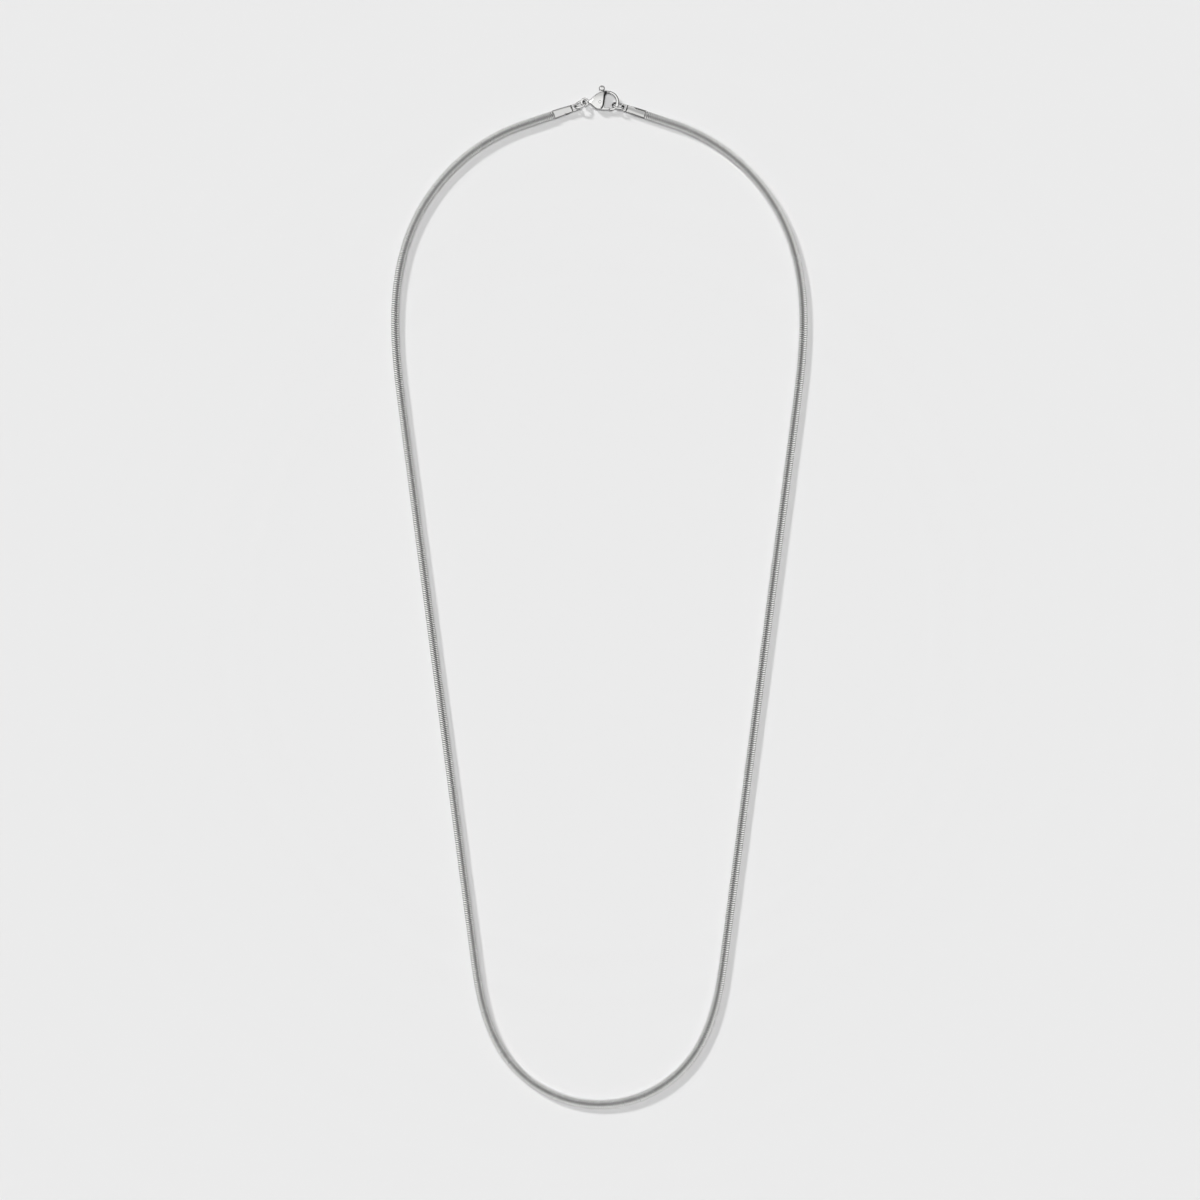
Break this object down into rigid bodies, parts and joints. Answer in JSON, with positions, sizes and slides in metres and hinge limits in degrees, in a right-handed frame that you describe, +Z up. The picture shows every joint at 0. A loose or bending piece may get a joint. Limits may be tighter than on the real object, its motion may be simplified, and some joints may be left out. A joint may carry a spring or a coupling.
{
  "type": "snake chain necklace",
  "caption": "Round snake chain necklace laid flat in an egg-shaped loop, with crimped end caps, jump rings and a lobster clasp whose lever opens its gate.",
  "frame": {"origin": "middle of the loop's box, on the surface that the necklace lies on", "axes": "+Y from the chain's lowest bend to the clasp, +X to the right seen from above, +Z up from the surface"},
  "size_m": [0.098, 0.2408, 0.0025],
  "materials": {
    "chain_steel": "polished stainless steel plate links",
    "cap_steel": "polished stainless steel, pressed",
    "ring_steel": "polished stainless steel wire",
    "clasp_steel": "polished cast stainless steel"
  },
  "bodies": {
    "necklace": {"chain": "chain_steel", "end_cap_left": "cap_steel", "end_cap_right": "cap_steel", "jump_ring_left": "ring_steel", "jump_ring_right": "ring_steel", "clasp_body": "clasp_steel", "clasp_pin": "clasp_steel"},
    "lever": {"clasp_lever": "clasp_steel"}
  },
  "joints": [
    {"name": "lever_hinge", "type": "hinge", "parent": "necklace", "child": "lever", "pos_m": [0.00014, 0.11638, 0.0012], "axis": [0, 0, 1], "range_deg": [0, 20], "stiffness_Nm_per_rad": 0.01, "springref_deg": -11.46}
  ]
}
